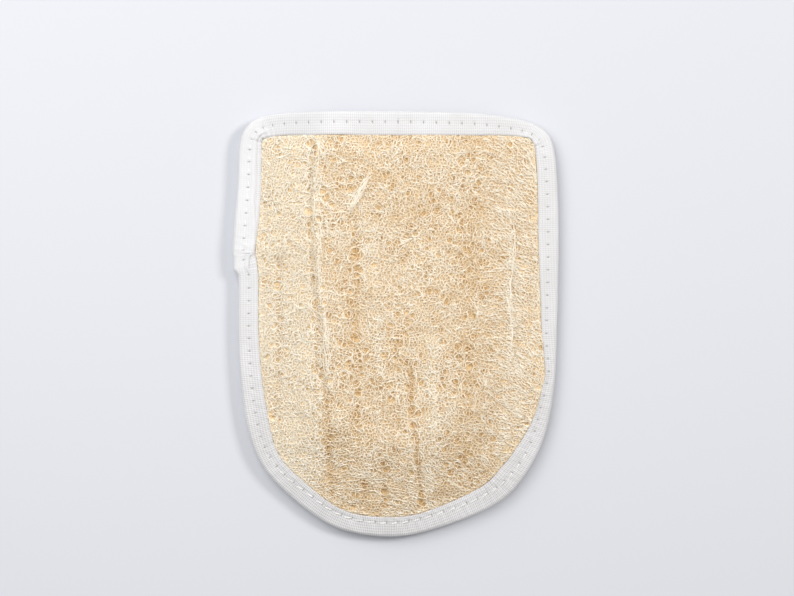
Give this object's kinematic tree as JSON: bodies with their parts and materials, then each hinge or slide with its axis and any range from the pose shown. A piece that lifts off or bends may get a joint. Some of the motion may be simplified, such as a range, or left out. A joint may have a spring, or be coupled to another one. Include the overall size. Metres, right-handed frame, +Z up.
{
  "type": "natural loofah bath mitt",
  "caption": "Natural loofah bath mitt lying flat: a pressed loofah face on a terry back, bound with stitched ribbed tape, with a hand pocket open at the straight cuff.",
  "frame": {"origin": "on the surface it lies on, under the middle of its bounding box", "axes": "+Y along the mitt toward the straight cuff, +X to the right seen from the loofah side, +Z up out of the loofah face"},
  "size_m": [0.1531, 0.2, 0.0188],
  "materials": {
    "loofah": "dry bleached plant fibre, matt",
    "terry": "white looped cotton terry",
    "tape": "white ribbed woven cotton tape",
    "thread": "white sewing thread, slightly glossy"
  },
  "bodies": {
    "root": {"loofah_panel": "loofah", "terry_back": "terry", "edge_binding": "tape", "needle_thread": "thread", "bobbin_thread": "thread", "hem_thread": "thread"}
  },
  "joints": []
}
